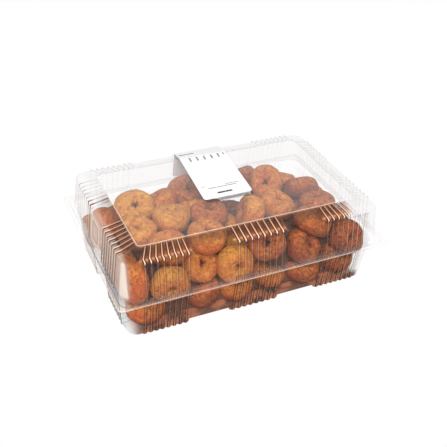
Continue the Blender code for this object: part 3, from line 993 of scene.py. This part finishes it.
def shape_doughnut(bm, verts, sizes, index, place, axis):
    """Pucker the hole, fold and lump the ring, set it in its place, and store its tone with painted light
    on its upward faces, and painted shade in its folds and underside
    """
    tone_and_top_light, shadow = bm.verts.layers.float["tone_and_top_light"], bm.verts.layers.float["shadow"]
    draw = random.Random(SEED * 100 + index)
    oval = draw.uniform(*OVAL)
    squash = draw.uniform(*SQUASH)
    lobe_turn = draw.uniform(0.0, math.tau)
    lobes = draw.choice(LOBES)
    fold_turn = draw.uniform(0.0, math.tau)
    fold_at = draw.uniform(*FOLD_AT)
    fold_deep = draw.choice(FOLD_DEEP)
    tone_shift = draw.uniform(*TONE_SHIFT)
    offset = Vector([draw.uniform(*NOISE_SHIFT) for direction in range(3)])
    spin = Matrix.Rotation(draw.uniform(0.0, math.tau), 4, "Z")
    lean = Vector((0.0, 0.0, 1.0)).rotation_difference(Vector(axis)).to_matrix().to_4x4()
    pose = Matrix.Translation(Vector(place)) @ lean @ spin
    ring = (sizes.doughnut + sizes.hole) / 2.0
    for vert in verts:
        x, y, z = vert.co
        far = math.hypot(x, y)
        angle = math.atan2(y, x)
        outward = Vector((x / far, y / far, 0.0))
        skin = (vert.co - outward * ring).normalized()
        lump = noise.noise(vert.co * LUMP_RATE + offset)
        fine = noise.noise(vert.co * FINE_RATE + offset)
        near_hole = math.exp(-(((far - sizes.hole) / PUCKER_REACH) ** 2))
        pucker = PUCKER_HIGH * math.cos(lobes * angle + lobe_turn) * near_hole
        across = x * math.cos(fold_turn) + y * math.sin(fold_turn) - fold_at + FOLD_WAVER * lump
        fold = math.exp(-((across / FOLD_WIDTH) ** 2)) * max(0.0, skin.z)
        dent = FINE_HIGH * fine - fold_deep * fold
        moved = vert.co + outward * (LUMP_HIGH * lump + pucker) + skin * dent
        moved.z *= (1.0 + LUMP_SWELL * lump) * squash
        moved.x *= oval
        vert.co = pose @ moved
        # Painted light on upward faces, shifted by each doughnut's own tone; painted shade in folds and
        # underneath
        up = (lean @ spin @ skin).z
        vert[tone_and_top_light] = min(1.0, max(0.0, TONE_LEVEL + TOP_LIGHT * up + tone_shift))
        vert[shadow] += FOLD_SHADOW * fold_deep * fold + UNDER_SHADOW * max(0.0, -up)


def core_mesh():
    """The dark core under the doughnuts, painted shade for the gaps between them: wide at the floor, under
    a top that follows the pile
    """
    bm = bmesh.new()
    bmesh.ops.create_grid(bm, x_segments=CORE_CELLS[0], y_segments=CORE_CELLS[1], size=1.0)
    for vert in bm.verts:
        x, y = vert.co.x * CORE_HALF[0], vert.co.y * CORE_HALF[1]
        fall_x = FILL_FALL[0] * max(0.0, x - FILL_FLAT[0])
        fall_y = FILL_FALL[1] * max(0.0, y - FILL_FLAT[1])
        top = FILL_TOP_Z - fall_x - fall_y - CORE_COVER - CORE_SINK
        vert.co = (x * CORE_TOP_SHARE[0], y * CORE_TOP_SHARE[1], top)
    floor = bmesh.ops.extrude_face_region(bm, geom=bm.faces[:])["geom"]
    for item in floor:
        if isinstance(item, bmesh.types.BMVert):
            x, y = item.co.x * CORE_SPREAD[0], item.co.y * CORE_SPREAD[1]
            item.co = (x, y, CORE_FLOOR_Z / 2.0)
    bmesh.ops.recalc_face_normals(bm, faces=bm.faces)
    return bm


# Operators


class BOX_OT_tray(bpy.types.Operator):
    """Add the tray: the lower clear shell"""

    bl_idname = "doughnut_box.tray"
    bl_label = "Tray"

    def execute(self, context):
        sizes, colours = context.scene.box_sizes, context.scene.box_colours
        band_z = SEAM_Z - SEAM_GAP / 2.0 - sizes.sheet
        ledge_z = band_z - STEP_HEIGHT
        # Along the outlines: glint and shine are painted highlights, groove and shade painted shade, and
        # the lower walls and floor carry a painted reflection of the food
        stations = [
            Station(RIM_HALF, RIM_CORNER, band_z, shine=0.10),
            Station(STEP_TOP_HALF, STEP_CORNER, band_z, round=0.0006),
            Station(STEP_FOOT_HALF, STEP_CORNER, ledge_z, round=0.0006),
            Station(TRAY_TOP_HALF, WALL_CORNER, ledge_z, rib_out=TRAY_RIB_OUT, flat_out=FLAT_OUT,
                    glint=0.03, groove=0.55, round=0.0012),
            Station(TRAY_LOW_HALF, WALL_CORNER, TRAY_LOW_Z, rib_out=TRAY_RIB_OUT,
                    glint=0.04, groove=0.60, food_reflection=0.05),
            Station(TRAY_TOE_HALF, WALL_CORNER, TRAY_TOE_Z, rib_out=TRAY_RIB_OUT,
                    glint=0.04, groove=0.60, food_reflection=0.60),
            Station(TRAY_FOOT_HALF, WALL_CORNER, 0.0, rib_out=TRAY_RIB_OUT, off_foot=FOOT_RISE,
                    groove=0.50, food_reflection=0.80, round=0.0016),
            Station(SOLE_INNER_HALF, FLOOR_CORNER, 0.0, off_foot=FOOT_RISE, food_reflection=0.90, round=0.0010),
            Station(FLOOR_HALF, FLOOR_CORNER, FOOT_RISE, food_reflection=0.90, round=0.0010),
            Station(FLOOR_INNER_HALF, FLOOR_CORNER, FOOT_RISE, food_reflection=0.90),
        ]
        material = clear_plastic("clear_tray", colours.clear)
        add_shell("tray_shell", stations, material, "base", "tray", sizes.sheet, 1.0)
        return {"FINISHED"}


class BOX_OT_lid(bpy.types.Operator):
    """Add the lid: the upper clear shell"""

    bl_idname = "doughnut_box.lid"
    bl_label = "Lid"

    def execute(self, context):
        sizes, colours = context.scene.box_sizes, context.scene.box_colours
        band_z = SEAM_Z + SEAM_GAP / 2.0 + sizes.sheet
        ledge_z = band_z - STEP_HEIGHT
        # Along the outlines: glint and shine are painted highlights, groove and shade painted shade, and
        # the shoulder carries a painted reflection of the food
        stations = [
            Station(RIM_HALF, RIM_CORNER, band_z, shine=0.45),
            Station(RIM_INNER_HALF, RIM_CORNER, band_z, haze_and_sheen=0.03),
            Station(STEP_OUTER_HALF, STEP_CORNER, band_z, haze_and_sheen=0.03),
            Station(STEP_TOP_HALF, STEP_CORNER, band_z, shade=0.30, round=0.0004),
            Station(STEP_FOOT_HALF, STEP_CORNER, ledge_z, haze_and_sheen=0.03, round=0.0006),
            Station(LID_FOOT_HALF, WALL_CORNER, ledge_z, rib_out=LID_RIB_OUT, flat_out=FLAT_OUT,
                    glint=0.04, groove=0.30, shade=0.05, round=0.0012),
            Station(LID_HIGH_HALF, WALL_CORNER, LID_HIGH_Z, flat_out=FLAT_OUT,
                    rib_out=SHOULDER_RIB_OUT * LID_HIGH_RIB_SHARE, glint=0.06, groove=0.30),
            Station(LID_BROW_HALF, WALL_CORNER, LID_BROW_Z, rib_out=SHOULDER_RIB_OUT,
                    rib_up=LID_BROW_RIB_UP, flat_out=FLAT_OUT, groove=0.90),
            Station(LID_TOP_HALF, WALL_CORNER, LID_WALL_TOP_Z, rib_out=SHOULDER_RIB_OUT,
                    rib_up=SHOULDER_RIB_UP, flat_out=FLAT_OUT, glint=1.0, groove=0.70, shade=0.03,
                    round=0.0016),
            Station(SHOULDER_LOW_HALF, SHOULDER_LOW_CORNER, SHOULDER_LOW_Z, rib_up=SHOULDER_RIB_UP,
                    glint=0.34, groove=0.50, food_reflection=0.48),
            Station(SHOULDER_HALF, SHOULDER_CORNER, SHOULDER_TOP_Z,
                    rib_up=SHOULDER_RIB_UP * SHOULDER_TOP_RIB_SHARE, glint=0.36, groove=0.80,
                    shade=0.25, food_reflection=0.20, round=0.0006),
            Station(PANEL_FOOT_HALF, SHOULDER_CORNER, PANEL_FOOT_Z, shade=0.10, shine=0.10),
            Station(PANEL_HALF, PANEL_CORNER, PANEL_Z, shine=0.60, round=0.0005),
            Station(PANEL_EDGE_HALF, PANEL_CORNER, PANEL_Z),
            Station(PANEL_INNER_HALF, PANEL_CORNER, PANEL_Z),
        ]
        material = clear_plastic("clear_lid", colours.clear)
        add_shell("lid_shell", stations, material, "cover", "lid", sizes.sheet, -1.0)
        return {"FINISHED"}


class BOX_OT_doughnuts(bpy.types.Operator):
    """Add the doughnuts and the dark core that they lie round, painted shade for the gaps between them"""

    bl_idname = "doughnut_box.doughnuts"
    bl_label = "Doughnuts"

    def execute(self, context):
        sizes, colours = context.scene.box_sizes, context.scene.box_colours
        add_doughnuts(sizes, colours)
        # The core's dark colour is painted shade for the gaps between the doughnuts
        paint = Paint("core_painted_shade")
        base = paint.mix(paint.grain(*CORE_GRAIN), *CORE_SHADE_COLOURS)
        shader = paint.node("BsdfPrincipled", {}, {"Base Color": base, "Roughness": 0.85})
        add_piece("doughnut_core", core_mesh(), paint.finish(shader.outputs[0]), "base",
                  ("doughnut_heap",))
        return {"FINISHED"}


class BOX_OT_label(bpy.types.Operator):
    """Add the paper label over the lid's back edge"""

    bl_idname = "doughnut_box.label"
    bl_label = "Label"

    def execute(self, context):
        sizes, colours = context.scene.box_sizes, context.scene.box_colours
        drop = LABEL_DROP / (LID_WALL_TOP_Z - SEAM_Z)
        crest_top = LID_TOP_HALF[1] + SHOULDER_RIB_OUT + TOUCH_GAP
        crest_foot = LID_FOOT_HALF[1] + LID_RIB_OUT + TOUCH_GAP
        edge_z = LID_WALL_TOP_Z + SHOULDER_RIB_UP + TOUCH_GAP
        profile = (
            (LABEL_FRONT_Y, PANEL_Z + TOUCH_GAP),
            (PANEL_HALF[1] + TOUCH_GAP, PANEL_Z + TOUCH_GAP),
            (crest_top, edge_z),
            (crest_top + drop * (crest_foot - crest_top), LID_WALL_TOP_Z - LABEL_DROP),
        )
        bm = bmesh.new()
        rows = []
        for y, z in profile:
            middle = LABEL_X + LABEL_SLANT * (y - LABEL_FRONT_Y)
            rows.append([bm.verts.new((middle + side * LABEL_WIDTH / 2.0, y, z)) for side in (-1, 1)])
        for near, far in zip(rows, rows[1:]):
            bm.faces.new((near[0], near[1], far[1], far[0]))
        bmesh.ops.bevel(bm, geom=rows[0] + rows[-1], affect="VERTICES", offset=LABEL_CORNER,
                        segments=5, profile=0.5, material=-1)
        bmesh.ops.recalc_face_normals(bm, faces=bm.faces)
        if sum(face.normal.z * face.calc_area() for face in bm.faces) < 0.0:
            bmesh.ops.reverse_faces(bm, faces=bm.faces)
        paint = Paint("label_paper")
        split = paint.node("SeparateXYZ", {}, {0: paint.place()})
        along = paint.wire(split, 1)
        across = paint.wire(split, 0) - LABEL_X - LABEL_SLANT * (along - LABEL_FRONT_Y)
        # Only the outer face is printed
        facing = paint.node("SeparateXYZ", {}, {0: paint.node("TexCoord").outputs["Normal"]})
        outer = paint.wire(facing, 2) > PRINTED_SIDE
        print_marks = 0.0 * along
        for left, right, front, back, ink in LABEL_MARKS:
            inside = paint.within(across, left, right, MARK_BLUR)
            inside = inside * paint.within(along, front, back, MARK_BLUR)
            print_marks = print_marks.most(inside * ink)
        broken = paint.flecks(*BROKEN_INK)
        fibre = paint.grain(*FIBRE)
        bump = paint.node("Bump", {}, {"Strength": 0.1, "Distance": 0.0002, "Height": fibre})
        base = paint.mix(fibre * FIBRE_SHARE, colours.paper, FIBRE_COLOUR)
        base = paint.mix(print_marks * broken * outer, base, colours.ink)
        finish = {"Base Color": base, "Roughness": 0.55, "Normal": bump.outputs[0]}
        shader = paint.node("BsdfPrincipled", {}, finish)
        label = add_piece("label_strip", bm, paint.finish(shader.outputs[0]),
                          "cover", ("label",))
        thicken(label, sizes.paper, 1.0)
        return {"FINISHED"}


# Camera and stage


def add_camera(context):
    """Put the camera where the photo was taken from"""
    azimuth, elevation, roll = CAMERA_AZIMUTH, CAMERA_ELEVATION, CAMERA_ROLL
    back = Vector((
        math.sin(azimuth) * math.cos(elevation),
        -math.cos(azimuth) * math.cos(elevation),
        math.sin(elevation),
    ))
    right = Vector((math.cos(azimuth), math.sin(azimuth), 0.0))
    up = back.cross(right)
    rolled_right = math.cos(roll) * right + math.sin(roll) * up
    rolled_up = math.cos(roll) * up - math.sin(roll) * right
    data = bpy.data.cameras.new("camera")
    data.sensor_width = SENSOR_MM
    data.lens = SENSOR_MM * FOCAL_PX / PHOTO_PX
    data.clip_start, data.clip_end = CLIP
    camera = bpy.data.objects.new("camera", data)
    turn = Matrix((rolled_right, rolled_up, back)).transposed().to_4x4()
    centre = CAMERA_ASIDE[0] * rolled_right + CAMERA_ASIDE[1] * rolled_up + CAMERA_DISTANCE * back
    camera.matrix_world = Matrix.Translation(centre) @ turn
    context.scene.collection.objects.link(camera)
    context.scene.camera = camera


def add_light(context, name, place, aim, size, power):
    data = bpy.data.lights.new(name, "AREA")
    data.shape = "RECTANGLE"
    data.size, data.size_y = size
    data.energy = power
    light = bpy.data.objects.new(name, data)
    light.location = place
    light.rotation_mode = "QUATERNION"
    light.rotation_quaternion = (Vector(place) - Vector(aim)).to_track_quat("Z", "Y")
    context.scene.collection.objects.link(light)


class BOX_OT_stage(bpy.types.Operator):
    """Add the floor, the lights and the camera"""

    bl_idname = "doughnut_box.stage"
    bl_label = "Stage"

    def execute(self, context):
        scene = context.scene
        scene.view_settings.view_transform = "Standard"
        bm = bmesh.new()
        bmesh.ops.create_grid(bm, x_segments=1, y_segments=1, size=FLOOR_SIZE)
        mesh = bpy.data.meshes.new("floor")
        bm.to_mesh(mesh)
        bm.free()
        floor = bpy.data.objects.new("floor", mesh)
        scene.collection.objects.link(floor)
        paint = Paint("pale_floor")
        matt = paint.node("BsdfPrincipled", {}, {"Base Color": (0.7, 0.7, 0.7), "Roughness": 0.8})
        seen = paint.node("Emission", {}, {"Color": (1.0, 1.0, 1.0), "Strength": 1.0})
        first = paint.wire(paint.node("LightPath"), "Is Camera Ray")
        shader = paint.node("MixShader", {}, {0: first, 1: matt.outputs[0], 2: seen.outputs[0]})
        mesh.materials.append(paint.finish(shader.outputs[0]))
        world = bpy.data.worlds.new("studio")
        world.use_nodes = True
        background = world.node_tree.nodes["Background"]
        background.inputs["Color"].default_value = (1.0, 1.0, 1.0, 1.0)
        background.inputs["Strength"].default_value = WORLD_STRENGTH
        scene.world = world
        add_light(context, "key", KEY_PLACE, KEY_AIM, KEY_SIZE, KEY_POWER)
        scene.cycles.transparent_max_bounces = CLEAR_BOUNCES
        add_camera(context)
        return {"FINISHED"}


class BOX_PT_panel(bpy.types.Panel):
    """Sizes, colours and the pieces of the box"""

    bl_idname = "BOX_PT_panel"
    bl_label = "Doughnut Box"
    bl_space_type = "VIEW_3D"
    bl_region_type = "UI"
    bl_category = "Doughnut Box"

    def draw(self, context):
        for group in (context.scene.box_sizes, context.scene.box_colours):
            for key in group.bl_rna.properties.keys():
                if key not in ("rna_type", "name"):
                    self.layout.prop(group, key)
        for step in STEPS:
            self.layout.operator(step.bl_idname)


STEPS = (BOX_OT_stage, BOX_OT_tray, BOX_OT_doughnuts, BOX_OT_lid, BOX_OT_label)
CLASSES = (BoxSizes, BoxColours, *STEPS, BOX_PT_panel)


def register():
    for item in CLASSES:
        bpy.utils.register_class(item)
    bpy.types.Scene.box_sizes = PointerProperty(type=BoxSizes)
    bpy.types.Scene.box_colours = PointerProperty(type=BoxColours)


def unregister():
    del bpy.types.Scene.box_colours
    del bpy.types.Scene.box_sizes
    for item in reversed(CLASSES):
        bpy.utils.unregister_class(item)


def main():
    register()
    bpy.ops.doughnut_box.stage()
    bpy.ops.doughnut_box.tray()
    bpy.ops.doughnut_box.doughnuts()
    bpy.ops.doughnut_box.lid()
    bpy.ops.doughnut_box.label()


if __name__ == "__main__":
    main()
